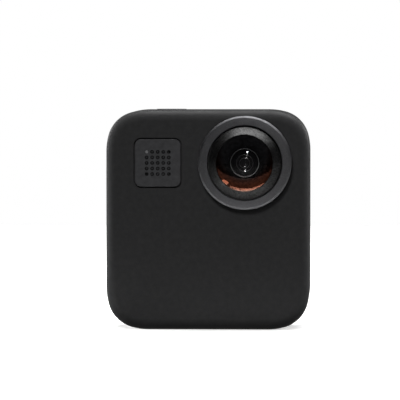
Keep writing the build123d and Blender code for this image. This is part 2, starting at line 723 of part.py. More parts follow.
def dome_lens(side):
    """The outer lens: a strong bulge above a flange that the retainer holds down."""
    flange_top = BARREL_TOP + DOME_FLANGE_HEIGHT
    hollow_r = DOME_EDGE_R - DOME_WALL
    hollow = DOME_EDGE_HEIGHT + DOME_BULGE - DOME_CENTRE_THICKNESS
    edges = [
        Line((0, BARREL_TOP + hollow), (0, DOME_EDGE_DEPTH + DOME_BULGE)),
        cap(DOME_EDGE_R, DOME_EDGE_DEPTH, DOME_BULGE),
        Line((DOME_EDGE_R, DOME_EDGE_DEPTH), (DOME_EDGE_R, flange_top)),
        Line((DOME_EDGE_R, flange_top), (DOME_FLANGE_R, flange_top)),
        Line((DOME_FLANGE_R, flange_top), (DOME_FLANGE_R, BARREL_TOP)),
        Line((DOME_FLANGE_R, BARREL_TOP), (hollow_r, BARREL_TOP)),
        cap(hollow_r, BARREL_TOP, hollow),
    ]
    return turned(edges, side)


def second_lens(side):
    face_r = SECOND_LENS_R - SECOND_LENS_RIM
    hollow_r = INNER_LENS_R - INNER_LENS_RIM
    top = SECOND_LENS_DEPTH + SECOND_LENS_HEIGHT
    return lens_element(SECOND_LENS_R, face_r, SECOND_LENS_DEPTH, top, SECOND_LENS_BULGE,
                        hollow_r, SECOND_LENS_HOLLOW, side)


def inner_lenses(side):
    """The lenses stacked between the sensor and the second lens."""
    base = SENSOR_BOARD_TOP + INNER_LENS_SEAT
    height = (SECOND_LENS_DEPTH - base) / INNER_LENS_COUNT
    face_r = INNER_LENS_R - INNER_LENS_RIM
    elements = []
    for index in range(INNER_LENS_COUNT):
        low = base + index * height
        elements.append(lens_element(INNER_LENS_R, face_r, low, low + height, INNER_LENS_BULGE,
                                     face_r, INNER_LENS_HOLLOW, side))
    return group(elements)


def lens_retainer(side):
    """The cone-shaped ring that holds the dome lens on the barrel."""
    bore = DOME_FLANGE_R + STATIC_FIT
    lip_r = DOME_EDGE_R + RETAINER_LIP_GAP
    lip_z = BARREL_TOP + DOME_FLANGE_HEIGHT + STATIC_FIT
    points = [
        (bore, BARREL_TOP),
        (RETAINER_R, BARREL_TOP),
        (RETAINER_R, BARREL_TOP + RETAINER_SKIRT),
        (lip_r + RETAINER_LIP_LAND, DOME_EDGE_DEPTH),
        (lip_r, DOME_EDGE_DEPTH),
        (lip_r, lip_z),
        (bore, lip_z),
    ]
    return turned_points(points, side)


def lens_ring(side):
    """The ring that stands proud of the body round the lens, its face sloping back outwards."""
    points = [
        (RING_INNER_R, INSIDE_DEPTH),
        (RING_SKIRT_R, INSIDE_DEPTH),
        (RING_SKIRT_R, RING_SEAT),
        (RING_OUTER_R, RING_SEAT),
        (RING_OUTER_R, RING_EDGE_TOP - RING_CHAMFER),
        (RING_OUTER_R - RING_CHAMFER, RING_EDGE_TOP),
        (RING_INNER_R + RING_INNER_EDGE, RING_TOP),
        (RING_INNER_R, RING_TOP - RING_INNER_EDGE),
    ]
    return turned_points(points, side)


def lens_barrel(side):
    """The stepped tube that carries every lens of one module."""
    sensor_r = SENSOR_SIDE / math.sqrt(2) + SENSOR_GAP
    sensor_top = SENSOR_BOARD_TOP + SENSOR_THICKNESS + SENSOR_GAP
    seat = SENSOR_BOARD_TOP + INNER_LENS_SEAT
    flange_r = BARREL_R + BARREL_FLANGE_WIDTH
    flange_top = SENSOR_BOARD_TOP + BARREL_FLANGE_HEIGHT
    inner_bore = INNER_LENS_R + STATIC_FIT
    second_bore = SECOND_LENS_R + STATIC_FIT
    window_r = INNER_LENS_R - INNER_LENS_RIM
    points = [
        (sensor_r, SENSOR_BOARD_TOP),
        (flange_r, SENSOR_BOARD_TOP),
        (flange_r, flange_top),
        (BARREL_R, flange_top),
        (BARREL_R, BARREL_TOP),
        (second_bore, BARREL_TOP),
        (second_bore, SECOND_LENS_DEPTH),
        (inner_bore, SECOND_LENS_DEPTH),
        (inner_bore, seat),
        (window_r, seat),
        (window_r, sensor_top),
        (sensor_r, sensor_top),
    ]
    return turned_points(points, side)


def lens_seal(side):
    """The round ring seal between the barrel and the lens ring."""
    middle_r = (BARREL_R + RING_INNER_R) / 2
    section_r = (RING_INNER_R - BARREL_R) / 2 - STATIC_FIT
    depth = BODY_DEPTH / 2 - WALL / 2
    section = Pos(middle_r, depth) * Circle(section_r)
    axis = Axis((LENS_X, 0, LENS_Z), (0, 1, 0))
    return revolve(lens_plane(side) * section, axis=axis, revolution_arc=360)


def sensor_block(width, near, far, side):
    """A square plate about the lens axis."""
    return slab_y(Pos(LENS_X, LENS_Z) * Rectangle(width, width), *facing(side, near, far))


def microphone_grille(side):
    """The square pad with its rows of holes."""
    y0, y1 = facing(side, BODY_DEPTH / 2 - GRILLE_THICKNESS, BODY_DEPTH / 2)
    pad = rounded_slab(GRILLE_WIDTH, GRILLE_HEIGHT, GRILLE_CORNER_R, GRILLE_X, GRILLE_Z, y0, y1)
    outer_face = pad.faces().sort_by(Axis.Y)[0 if side < 0 else -1]
    pad = chamfer(outer_face.edges(), GRILLE_EDGE)
    return pad - [rod_y(x, z, GRILLE_HOLE_R, y0, y1) for x, z in grille_holes()]


def grille_membrane(side):
    """The waterproof sheet behind a grille."""
    back = BODY_DEPTH / 2 - GRILLE_THICKNESS
    width = grille_field() + 2 * (MEMBRANE_BORDER - STATIC_FIT)
    sheet = Pos(GRILLE_X, GRILLE_Z) * Rectangle(width, width)
    return slab_y(sheet, *facing(side, back - MEMBRANE_THICKNESS, back))


def microphones():
    """Two small microphones behind each membrane."""
    back = BODY_DEPTH / 2 - GRILLE_THICKNESS - MEMBRANE_THICKNESS
    chips = []
    for side in (-1, 1):
        for hand in (-1, 1):
            x = GRILLE_X + hand * MICROPHONE_SPACING / 2
            chip = Pos(x, GRILLE_Z) * Rectangle(MICROPHONE_WIDTH, MICROPHONE_HEIGHT)
            chips.append(slab_y(chip, *facing(side, back - MICROPHONE_DEPTH, back)))
    return group(chips)


def status_light_pipe():
    """The clear pin in the top left hole of the front grille."""
    x, z = grille_holes()[-GRILLE_COUNT]
    return rod_y(x, z, LIGHT_PIPE_R, FRONT_Y, FRONT_Y + GRILLE_THICKNESS)


def lens_module(side, name):
    """Every piece of one lens module and its microphone grille, by node name."""
    board_base = CHASSIS_THICKNESS / 2
    sensor_top = SENSOR_BOARD_TOP + SENSOR_THICKNESS
    return {
        name + "_lens_ring": lens_ring(side),
        name + "_lens_retainer": lens_retainer(side),
        name + "_dome_lens": dome_lens(side),
        name + "_second_lens": second_lens(side),
        name + "_inner_lenses": inner_lenses(side),
        name + "_lens_barrel": lens_barrel(side),
        name + "_lens_seal": lens_seal(side),
        name + "_image_sensor": sensor_block(SENSOR_SIDE, SENSOR_BOARD_TOP, sensor_top, side),
        name + "_sensor_board": sensor_block(SENSOR_BOARD_SIDE, board_base, SENSOR_BOARD_TOP, side),
        name + "_mic_grille": microphone_grille(side),
        name + "_mic_membrane": grille_membrane(side),
    }


def shutter_plane():
    return Plane(origin=(SHUTTER_X, 0, BODY_HEIGHT), x_dir=(1, 0, 0), z_dir=(0, 0, 1))


def mode_plane():
    return Plane(origin=(RIGHT_X, 0, MODE_Z), x_dir=(0, 0, 1), z_dir=(1, 0, 0))


def button_slab(plane, face, low, high):
    """A sketch on the outside of a wall, made solid between two heights above the wall."""
    return extrude(plane.offset(low) * face, amount=high - low, dir=plane.z_dir)


def button_hole(plane, length, width):
    hole = SlotOverall(length + 2 * BUTTON_GAP, width + 2 * BUTTON_GAP)
    return button_slab(plane, hole, -WALL - STATIC_FIT, OVERRUN)


def button_bottom():
    """The underside of a button, measured from the outside of its wall."""
    return -WALL - BUTTON_REST_GAP - BUTTON_FLANGE_HEIGHT


def seal_bottom():
    return button_bottom() - BUTTON_TRAVEL - SEAL_GAP - SEAL_THICKNESS


def button(plane, length, width, proud):
    """A long oval button with a flange that keeps it in its wall."""
    cap_top = button_slab(plane, SlotOverall(length, width), button_bottom(), proud)
    top_face = cap_top.faces().sort_by(Axis(plane.origin, plane.z_dir))[-1]
    cap_top = fillet(top_face.edges(), BUTTON_ROUNDING)
    wide = SlotOverall(length + 2 * BUTTON_FLANGE_WIDTH, width + 2 * BUTTON_FLANGE_WIDTH)
    return cap_top + button_slab(plane, wide, button_bottom(), -WALL - BUTTON_REST_GAP)


def button_seal(plane, length, width):
    """The rubber pad that a pressed button bears on."""
    return button_slab(plane, SlotOverall(length, width), seal_bottom(), seal_bottom() + SEAL_THICKNESS)


def button_board_top():
    return seal_bottom() - SWITCH_HEIGHT


def button_switch(plane):
    base = Rectangle(SWITCH_LENGTH, SWITCH_WIDTH)
    return button_slab(plane, base, button_board_top(), seal_bottom())


def button_boards():
    """The small boards under the two switches."""
    top = button_board_top()
    shutter_top_z = BODY_HEIGHT + top
    half_width = BUTTON_BOARD_WIDTH / 2
    shutter_left_x = SHUTTER_X - BUTTON_BOARD_LENGTH / 2
    shutter_board = block(shutter_left_x, chassis_left_x(), -half_width, half_width,
                          shutter_top_z - BUTTON_BOARD_THICKNESS, shutter_top_z)
    mode_outer_x = RIGHT_X + top
    half_length = BUTTON_BOARD_LENGTH / 2
    mode_board = block(mode_outer_x - BUTTON_BOARD_THICKNESS, mode_outer_x, -half_width, TRAY_REAR_Y,
                       MODE_Z - half_length, MODE_Z + half_length)
    return group([shutter_board, mode_board])


def battery_parts():
    """Battery, pull tab, tray and contacts."""
    middle_z = (BAY_BASE_Z + BAY_TOP_Z) / 2
    section = Pos(BAY_MIDDLE_Y, middle_z) * RectangleRounded(BATTERY_THICKNESS, BATTERY_HEIGHT,
                                                             BATTERY_EDGE_R)
    battery = slab_x(section, FRAME_X, BATTERY_END_X)
    tab = Pos(BAY_MIDDLE_Y, middle_z) * Rectangle(PULL_TAB_WIDTH, PULL_TAB_HEIGHT)
    pull_tab = slab_x(tab, FRAME_X - PULL_TAB_THICKNESS, FRAME_X)
    tray = block(FRAME_X, BAY_END_X + TRAY_WALL, BAY_FRONT_Y - TRAY_WALL, TRAY_REAR_Y,
                 BAY_BASE_Z - TRAY_WALL, BOARD_TOP_Z)
    tray -= block(FRAME_X, BAY_END_X, BAY_FRONT_Y, BAY_REAR_Y, BAY_BASE_Z, BAY_TOP_Z)
    contacts = []
    for index in range(CONTACT_COUNT):
        y = BAY_MIDDLE_Y + (index - (CONTACT_COUNT - 1) / 2) * CONTACT_PITCH
        strip = Pos(y, middle_z) * Rectangle(CONTACT_WIDTH, CONTACT_HEIGHT)
        contacts.append(slab_x(strip, BATTERY_END_X, BAY_END_X))
    return {"battery": battery, "battery_pull_tab": pull_tab, "battery_tray": tray,
            "battery_contacts": group(contacts)}


def board_parts():
    """Main board behind the battery, its chips and the heat spreader on them."""
    half = BODY_WIDTH / 2 - BOARD_SIDE_GAP
    board = block(-half, half, TRAY_REAR_Y, BOARD_REAR_Y, BOARD_BASE_Z, BOARD_TOP_Z)
    middle_z = (BOARD_BASE_Z + BOARD_TOP_Z) / 2
    chip_top_y = BOARD_REAR_Y + PROCESSOR_THICKNESS
    chips = []
    for hand, side in ((-1, PROCESSOR_SIDE), (1, MEMORY_SIDE)):
        chip = Pos(hand * CHIP_SPACING / 2, middle_z) * Rectangle(side, side)
        chips.append(slab_y(chip, BOARD_REAR_Y, chip_top_y))
    width = 2 * (half - SPREADER_SIDE_MARGIN)
    height = BOARD_TOP_Z - BOARD_BASE_Z - 2 * SPREADER_END_MARGIN
    sheet = Pos(0, middle_z) * Rectangle(width, height)
    spreader = slab_y(sheet, chip_top_y, chip_top_y + SPREADER_THICKNESS)
    return {"main_board": board, "processor": group(chips), "heat_spreader": spreader}


def speaker():
    """The small speaker against the inside of the right wall."""
    face_x = RIGHT_X - WALL
    section = RectangleRounded(SPEAKER_WIDTH, SPEAKER_HEIGHT, SPEAKER_EDGE_R)
    return slab_x(Pos(0, SPEAKER_Z) * section, face_x - SPEAKER_DEPTH, face_x)


def usb_c_socket():
    """The metal shell of the USB-C socket with the tongue inside it."""
    face_x = POCKET_X + SOCKET_SETBACK
    end_x = face_x + USB_LENGTH
    place = Pos(*usb_place())
    shell = slab_x(place * SlotOverall(USB_WIDTH, USB_HEIGHT), face_x, end_x)
    inside = SlotOverall(USB_WIDTH - 2 * USB_SHELL, USB_HEIGHT - 2 * USB_SHELL)
    shell -= slab_x(place * inside, face_x, end_x - USB_BACK_WALL)
    tongue = place * Rectangle(USB_TONGUE_WIDTH, USB_TONGUE_THICKNESS)
    return shell + slab_x(tongue, face_x + USB_TONGUE_SETBACK, end_x)


def card_socket():
    """The open-ended box that the memory card slides in."""
    half_room = CARD_WIDTH / 2 + CARD_GAP
    half = half_room + CARD_SOCKET_WALL
    base = card_socket_base()
    end_x = card_socket_end_x()
    shell = block(FRAME_X, end_x, BAY_MIDDLE_Y - half, BAY_MIDDLE_Y + half, base, io_board_base())
    room_base = base + CARD_SOCKET_WALL
    room = block(FRAME_X, end_x - CARD_SOCKET_WALL, BAY_MIDDLE_Y - half_room,
                 BAY_MIDDLE_Y + half_room, room_base, room_base + card_room())
    return shell - room


def io_board():
    """The small board that carries the USB-C socket above and the card socket below."""
    half = CARD_WIDTH / 2 + CARD_GAP + CARD_SOCKET_WALL + IO_BOARD_MARGIN
    base = io_board_base()
    return block(FRAME_X, card_socket_end_x(), BAY_MIDDLE_Y - half, BAY_MIDDLE_Y + half,
                 base, base + IO_BOARD_THICKNESS)


def memory_card():
    """A memory card of the small kind, latched in its socket."""
    low = card_middle_z() - CARD_THICKNESS / 2
    x0 = POCKET_X + CARD_RECESS
    plan = Pos((x0 + card_end_x()) / 2, BAY_MIDDLE_Y) * RectangleRounded(CARD_LENGTH, CARD_WIDTH,
                                                                        CARD_CORNER_R)
    return slab_z(plan, low, low + CARD_THICKNESS)


def latch_place():
    """The middle of the latch as (y, z)."""
    return DOOR_FRONT_Y + LATCH_SETBACK, (DOOR_BASE_Z + DOOR_TOP_Z) / 2


def latch_slot(width, length):
    """Room for a piece of the latch that slides up by its travel."""
    y, z = latch_place()
    room = Rectangle(width + 2 * LATCH_GAP, length + LATCH_TRAVEL + 2 * LATCH_GAP)
    return Pos(y, z + LATCH_TRAVEL / 2) * room


def side_door():
    """The door with its full round hinge edge, the latch's track and the pin's bore."""
    plan = Pos((DOOR_OUTER_X + DOOR_INNER_X) / 2, (DOOR_FRONT_Y + HINGE_Y) / 2)
    plan = plan * Rectangle(DOOR_THICKNESS, HINGE_Y - DOOR_FRONT_Y)
    plan += Pos(HINGE_X, HINGE_Y) * Circle(DOOR_THICKNESS / 2)
    blank = slab_x(door_sketch(0), DOOR_OUTER_X, DOOR_INNER_X)
    outer_rim = blank.faces().sort_by(Axis.X)[0].edges()
    hinge_edge = outer_rim.sort_by(Axis.Y)[-1]
    blank = chamfer(outer_rim.filter_by(lambda edge: edge != hinge_edge), DOOR_EDGE)
    door = slab_z(plan, DOOR_BASE_Z, DOOR_TOP_Z) & blank
    bore = Pos(HINGE_X, HINGE_Y) * Circle(HINGE_PIN_R + RUNNING_FIT)
    door -= slab_z(bore, DOOR_BASE_Z, DOOR_TOP_Z)
    track_x = DOOR_OUTER_X + LATCH_THICKNESS + LATCH_GAP
    door -= slab_x(latch_slot(LATCH_WIDTH, LATCH_LENGTH), DOOR_OUTER_X, track_x)
    return door - slab_x(latch_slot(LATCH_STEM_WIDTH, LATCH_STEM_LENGTH), track_x, DOOR_INNER_X)


def door_latch():
    """The thumb slide, its stem through the door and the foot behind it."""
    y, z = latch_place()
    outer_x = DOOR_OUTER_X + STATIC_FIT
    slide_x = DOOR_OUTER_X + LATCH_THICKNESS
    foot_x = DOOR_INNER_X + LATCH_FOOT_GAP
    latch = slab_x(Pos(y, z) * Rectangle(LATCH_WIDTH, LATCH_LENGTH), outer_x, slide_x)
    latch += slab_x(Pos(y, z) * Rectangle(LATCH_STEM_WIDTH, LATCH_STEM_LENGTH), slide_x, foot_x)
    foot_width = LATCH_STEM_WIDTH + 2 * LATCH_FOOT_OVERLAP
    foot = Pos(y, z) * Rectangle(foot_width, LATCH_STEM_LENGTH)
    latch += slab_x(foot, foot_x, foot_x + LATCH_FOOT_THICKNESS)
    pitch = LATCH_LENGTH / (LATCH_RIB_COUNT + 1)
    for index in range(LATCH_RIB_COUNT):
        rib_z = z - LATCH_LENGTH / 2 + (index + 1) * pitch
        groove = Pos(y, rib_z) * Rectangle(LATCH_WIDTH, LATCH_RIB_WIDTH)
        latch -= slab_x(groove, DOOR_OUTER_X, outer_x + LATCH_RIB_DEPTH)
    return latch


def door_gasket():
    """The rubber ring on the inside of the door, round every opening behind it."""
    y0 = DOOR_FRONT_Y + DOOR_GASKET_EDGE
    y1 = BAY_REAR_Y + DOOR_GASKET_EDGE + DOOR_GASKET_WIDTH
    height = DOOR_HEIGHT - 2 * DOOR_GASKET_INSET
    place = Pos((y0 + y1) / 2, (DOOR_BASE_Z + DOOR_TOP_Z) / 2)
    inner_r = DOOR_GASKET_CORNER_R - DOOR_GASKET_WIDTH
    outer = RectangleRounded(y1 - y0, height, DOOR_GASKET_CORNER_R)
    inner = RectangleRounded(y1 - y0 - 2 * DOOR_GASKET_WIDTH, height - 2 * DOOR_GASKET_WIDTH, inner_r)
    return slab_x(place * (outer - inner), DOOR_INNER_X, DOOR_INNER_X + DOOR_GASKET_HEIGHT)


def finger(hand):
    """One mounting finger, folded flat to the side that hand names: -1 left, 1 right."""
    neck_x = PIVOT_X + FINGER_NECK
    plan = Pos((PIVOT_X + FINGER_HOLE_X) / 2, 0) * Rectangle(FINGER_REACH, KNUCKLE_WIDTH)
    blade = Rectangle(FINGER_HOLE_X - neck_x, 2 * FINGER_TIP_R)
    plan += Pos((neck_x + FINGER_HOLE_X) / 2, 0) * blade
    plan += Pos(FINGER_HOLE_X, 0) * Circle(FINGER_TIP_R)
    solid = slab_z(plan, FINGER_RECESS, FINGER_RECESS + FINGER_THICKNESS)
    by_height = solid.faces().sort_by(Axis.Z)
    rims = by_height[0].edges() + by_height[-1].edges()
    solid = fillet(rims.filter_by(lambda rim: rim.center().X > neck_x + FINGER_EDGE_R), FINGER_EDGE_R)
    hole = Pos(FINGER_HOLE_X, 0) * Circle(FINGER_HOLE_R)
    solid -= slab_z(hole, FINGER_RECESS, FINGER_RECESS + FINGER_THICKNESS)
    knuckle_half = KNUCKLE_WIDTH / 2
    solid += rod_y(PIVOT_X, PIVOT_Z, FINGER_THICKNESS / 2, -knuckle_half, knuckle_half)
    pin_bore_r = FINGER_PIN_R + FINGER_PIN_FIT
    solid -= rod_y(PIVOT_X, PIVOT_Z, pin_bore_r, -knuckle_half, knuckle_half)
    return solid if hand > 0 else mirror(solid, about=Plane.YZ)


def finger_base():
    """The plate in the roof of the well, with the lugs that hold the hinge pins."""
    plan = RectangleRounded(2 * BASE_HALF_LENGTH, 2 * LUG_OUTER_Y, BASE_CORNER_R)
    base = slab_z(plan, BASE_BOTTOM_Z, WELL_TOP_Z)
    for x in (-PIVOT_X, PIVOT_X):
        for y0, y1 in ((-LUG_OUTER_Y, -LUG_INNER_Y), (LUG_INNER_Y, LUG_OUTER_Y)):
            base += rod_y(x, PIVOT_Z, LUG_ROUNDING, y0, y1)
            base += block(x - LUG_ROUNDING, x + LUG_ROUNDING, y0, y1, PIVOT_Z, BASE_BOTTOM_Z)
        base -= rod_y(x, PIVOT_Z, FINGER_PIN_R + STATIC_FIT, -LUG_OUTER_Y, LUG_OUTER_Y)
    for x, y in base_screw_places():
        base -= slab_z(Pos(x, y) * Circle(BASE_SCREW_R + STATIC_FIT), BASE_BOTTOM_Z, WELL_TOP_Z)
        head_room = Pos(x, y) * Circle(BASE_SCREW_HEAD_R + STATIC_FIT)
        base -= slab_z(head_room, BASE_BOTTOM_Z, BASE_BOTTOM_Z + BASE_SCREW_HEAD_HEIGHT)
    return base


def finger_hinge_pins():
    places = (-PIVOT_X, PIVOT_X)
    return group([rod_y(x, PIVOT_Z, FINGER_PIN_R, -LUG_OUTER_Y, LUG_OUTER_Y) for x in places])


def finger_base_screws():
    screws = []
    head_top = BASE_BOTTOM_Z + BASE_SCREW_HEAD_HEIGHT
    for x, y in base_screw_places():
        screw = slab_z(Pos(x, y) * Circle(BASE_SCREW_HEAD_R), BASE_BOTTOM_Z, head_top)
        screw += slab_z(Pos(x, y) * Circle(BASE_SCREW_R), head_top, base_screw_tip_z())
        socket = Pos(x, y) * RegularPolygon(SCREW_SOCKET_R, 6)
        screw -= slab_z(socket, BASE_BOTTOM_Z, BASE_BOTTOM_Z + SCREW_SOCKET_DEPTH)
        screws.append(screw)
    return group(screws)


def all_parts():
    """Every node of the camera by name."""
    parts = {
        "front_housing": front_housing(),
        "rear_cover": rear_cover(),
        "cover_gasket": cover_gasket(),
        "cover_screws": cover_screws(),
        "chassis": chassis(),
        "microphones": microphones(),
        "status_light_pipe": status_light_pipe(),
        "speaker": speaker(),
        "button_boards": button_boards(),
        "shutter_button": button(shutter_plane(), SHUTTER_LENGTH, SHUTTER_WIDTH, SHUTTER_PROUD),
        "shutter_seal": button_seal(shutter_plane(), SHUTTER_LENGTH, SHUTTER_WIDTH),
        "shutter_switch": button_switch(shutter_plane()),
        "mode_button": button(mode_plane(), MODE_LENGTH, MODE_WIDTH, MODE_PROUD),
        "mode_seal": button_seal(mode_plane(), MODE_LENGTH, MODE_WIDTH),
        "mode_switch": button_switch(mode_plane()),
        "usb_c_socket": usb_c_socket(),
        "card_socket": card_socket(),
        "io_board": io_board(),
        "memory_card": memory_card(),
        "side_door": side_door(),
        "door_gasket": door_gasket(),
        "door_latch": door_latch(),
        "door_hinge_pin": hinge_pin(0),
        "left_finger": finger(-1),
        "right_finger": finger(1),
        "finger_base": finger_base(),
        "finger_hinge_pins": finger_hinge_pins(),
        "finger_base_screws": finger_base_screws(),
    }
    parts.update(lens_module(-1, "front"))
    parts.update(lens_module(1, "rear"))
    parts.update(screen_parts())
    parts.update(battery_parts())
    parts.update(board_parts())
    return parts


os.makedirs("parts", exist_ok=True)
for node, shape in all_parts().items():
    export_step(shape, f"parts/{node}.step")
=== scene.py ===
"""Studio picture of a pocket 360 degree camera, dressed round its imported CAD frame."""
import bmesh
import bpy
import json
import math
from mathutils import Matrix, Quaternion, Vector


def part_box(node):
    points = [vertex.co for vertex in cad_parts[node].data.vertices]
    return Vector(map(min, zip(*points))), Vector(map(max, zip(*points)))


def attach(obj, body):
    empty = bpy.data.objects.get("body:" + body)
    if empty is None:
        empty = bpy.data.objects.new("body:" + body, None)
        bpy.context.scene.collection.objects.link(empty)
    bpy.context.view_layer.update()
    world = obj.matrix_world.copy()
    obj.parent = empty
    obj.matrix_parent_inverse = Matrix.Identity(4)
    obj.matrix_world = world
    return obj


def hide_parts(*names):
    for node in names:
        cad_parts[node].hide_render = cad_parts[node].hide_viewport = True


MM = 0.001
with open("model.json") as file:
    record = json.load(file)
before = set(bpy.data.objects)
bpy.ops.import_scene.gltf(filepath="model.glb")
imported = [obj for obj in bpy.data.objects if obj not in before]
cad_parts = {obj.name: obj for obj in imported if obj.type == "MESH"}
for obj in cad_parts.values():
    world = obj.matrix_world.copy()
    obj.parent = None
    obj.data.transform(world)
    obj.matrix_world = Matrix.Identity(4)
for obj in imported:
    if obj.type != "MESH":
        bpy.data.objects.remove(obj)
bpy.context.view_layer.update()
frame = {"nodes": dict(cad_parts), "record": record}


# Sizes that the fine lens pieces share with the plain ones
DOME_EDGE_R = 8.75 * MM
DOME_FLANGE_HEIGHT = 2.3 * MM
DOME_HOLLOW_R = 6.45 * MM
DOME_CENTRE_THICKNESS = 2.5 * MM
LIP_GAP = 0.1 * MM
LIP_LAND = 0.15 * MM
FIT = 0.05 * MM
RETAINER_SKIRT = 1.5 * MM
GROOVE_WIDTH = 0.35 * MM
RING_SKIRT_WALL = 0.3 * MM
RING_SEAT_DEPTH = 0.5 * MM
RING_CHAMFER = 0.55 * MM
RING_FACE_DROP = 0.35 * MM
RING_INNER_EDGE = 0.25 * MM
SECOND_LENS_RIM = 0.5 * MM
SECOND_LENS_HEIGHT = 2.0 * MM
SECOND_LENS_HOLLOW_R = 4.6 * MM
SECOND_LENS_HOLLOW = 2.7 * MM

# Rounding of the corners of the two rings
RING_ROUNDING = 0.14 * MM
RETAINER_ROUNDING = 0.12 * MM

# The thin shim in the groove, off centre, since the groove looks widest at the upper right
SHIM_OFFSET = (-0.065 * MM, 0, -0.112 * MM)
SHIM_WIDTH = 0.16 * MM
SHIM_HEIGHT = 0.6 * MM
SHIM_DROP = 0.08 * MM

# Radius and bulge of the small coated faces behind the second lens
FINE_LENSES = ((3.2 * MM, 0.85 * MM), (1.9 * MM, 1.45 * MM), (4.2 * MM, -0.95 * MM))
FINE_LENS_PITCH = 0.5 * MM
FINE_LENS_STEPS = 24

# Radius, section and look of the bright edges of the lens elements
EDGE_RINGS = ((4.42 * MM, 0.12 * MM, "glass_edge"), (2.6 * MM, 0.07 * MM, "inner_edge"),
              (1.6 * MM, 0.05 * MM, "inner_edge"))
EDGE_RING_SIDES = 16

# Fineness of the turned pieces
LATHE_SEGMENTS = 160
DOME_STEPS = 40
CORNER_STEPS = 4
SHARP_DEGREES = 28

# The share of a side that a rounded corner may take
CORNER_SHARE = 0.45

# A point closer to the axis than this is the tip of its piece
TIP_R = 1e-7


def node_centre(name):
    low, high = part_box(name)
    return (Vector(low) + Vector(high)) / 2


def new_object(name, mesh):
    """Links a mesh into the scene as a piece of its own."""
    piece = bpy.data.objects.new(name, mesh)
    bpy.context.scene.collection.objects.link(piece)
    return piece


# Materials


class Look:
    """A node material whose constant values sit on the shader's own sockets."""

    def __init__(self, name, color, roughness, metallic=0.0, **sockets):
        self.material = bpy.data.materials.new(name)
        self.material.use_nodes = True
        self.nodes = self.material.node_tree.nodes
        self.links = self.material.node_tree.links
        self.shader = self.nodes["Principled BSDF"]
        self.set("Base Color", (*color, 1.0))
        self.set("Roughness", roughness)
        self.set("Metallic", metallic)
        for socket, value in sockets.items():
            self.set(socket.replace("_", " "), value)

    def set(self, socket, value):
        self.shader.inputs[socket].default_value = value

    def place(self, scale, stretch=(1, 1, 1)):
        """Object coordinates, scaled to a feature size in metres."""
        coords = self.nodes.new("ShaderNodeTexCoord")
        mapping = self.nodes.new("ShaderNodeMapping")
        mapping.inputs["Scale"].default_value = [s / scale for s in stretch]
        self.links.new(coords.outputs["Object"], mapping.inputs["Vector"])
        return mapping.outputs["Vector"]

    def noise(self, scale, detail=3.0, rough=0.55, stretch=(1, 1, 1)):
        node = self.nodes.new("ShaderNodeTexNoise")
        node.inputs["Scale"].default_value = 1.0
        node.inputs["Detail"].default_value = detail
        node.inputs["Roughness"].default_value = rough
        self.links.new(self.place(scale, stretch), node.inputs["Vector"])
        return node.outputs["Fac"]

    def ramp(self, value, low, high, start=0.3, end=0.7):
        """Maps a texture value to a colour or a grey between two ends."""
        node = self.nodes.new("ShaderNodeValToRGB")
        node.color_ramp.elements[0].position = start
        node.color_ramp.elements[1].position = end
        node.color_ramp.elements[0].color = low
        node.color_ramp.elements[1].color = high
        self.links.new(value, node.inputs["Fac"])
        return node.outputs["Color"]

    def from_lens_axis(self, reach, rise):
        """Distance from a line that runs above the lens axis by the rise, as a share of reach."""
        centre = node_centre("front_lens_ring") + Vector((0, 0, rise))
        coords = self.nodes.new("ShaderNodeTexCoord")
        mapping = self.nodes.new("ShaderNodeMapping")
        mapping.inputs["Scale"].default_value = (1 / reach, 0, 1 / reach)
        mapping.inputs["Location"].default_value = (-centre.x / reach, 0, -centre.z / reach)
        self.links.new(coords.outputs["Object"], mapping.inputs["Vector"])
        length = self.nodes.new("ShaderNodeVectorMath")
        length.operation = "LENGTH"
        self.links.new(mapping.outputs["Vector"], length.inputs[0])
        return length.outputs["Value"]

    def bands(self, value, stops):
        """Colours the surface by a list of (position, colour) stops."""
        node = self.nodes.new("ShaderNodeValToRGB")
        elements = node.color_ramp.elements
        while len(elements) < len(stops):
            elements.new(0.5)
        for element, (position, color) in zip(elements, stops):
            element.position = position
            element.color = (*color, 1)
        self.links.new(value, node.inputs["Fac"])
        self.links.new(node.outputs["Color"], self.shader.inputs["Base Color"])

    def mottle(self, value, low, high):
        """Multiplies the linked base colour by a texture value between two factors."""
        node = self.nodes.new("ShaderNodeMix")
        node.data_type = "RGBA"
        node.blend_type = "MULTIPLY"
        node.inputs["Factor"].default_value = 1.0
        source = self.shader.inputs["Base Color"].links[0].from_socket
        self.links.new(source, node.inputs["A"])
        grey = self.ramp(value, (low, low, low, 1), (high, high, high, 1))
        self.links.new(grey, node.inputs["B"])
        self.links.new(node.outputs["Result"], self.shader.inputs["Base Color"])

    def vary_color(self, value, low, high):
        color = self.ramp(value, (*low, 1), (*high, 1))
        self.links.new(color, self.shader.inputs["Base Color"])

    def vary_roughness(self, value, low, high):
        grey = self.ramp(value, (low, low, low, 1), (high, high, high, 1))
        self.links.new(grey, self.shader.inputs["Roughness"])

    def bump(self, value, strength, depth):
        """Bump from a texture value, with its depth in metres."""
        node = self.nodes.new("ShaderNodeBump")
        node.inputs["Strength"].default_value = strength
        node.inputs["Distance"].default_value = depth
        self.links.new(value, node.inputs["Height"])
        self.links.new(node.outputs["Normal"], self.shader.inputs["Normal"])


# Feature sizes of the textures
COLOR_DRIFT = 1.7 * MM
SHEEN_DRIFT = 6 * MM
METAL_SHEEN = 2.5 * MM
RUBBER_CLOUDS = 0.5 * MM
RUBBER_GRAIN = 0.2 * MM
DOME_MOTTLE = 0.9 * MM
LENS_HAZE = 3 * MM
EDGE_CLOUDS = 0.8 * MM
SCREEN_SHEEN = 9 * MM
TRACK_GRID = 2.2 * MM
DRAW_LINES = 0.4 * MM

# How the draw lines of machined metal stretch along each axis
DRAW_STRETCH = (1, 1, 0.1)

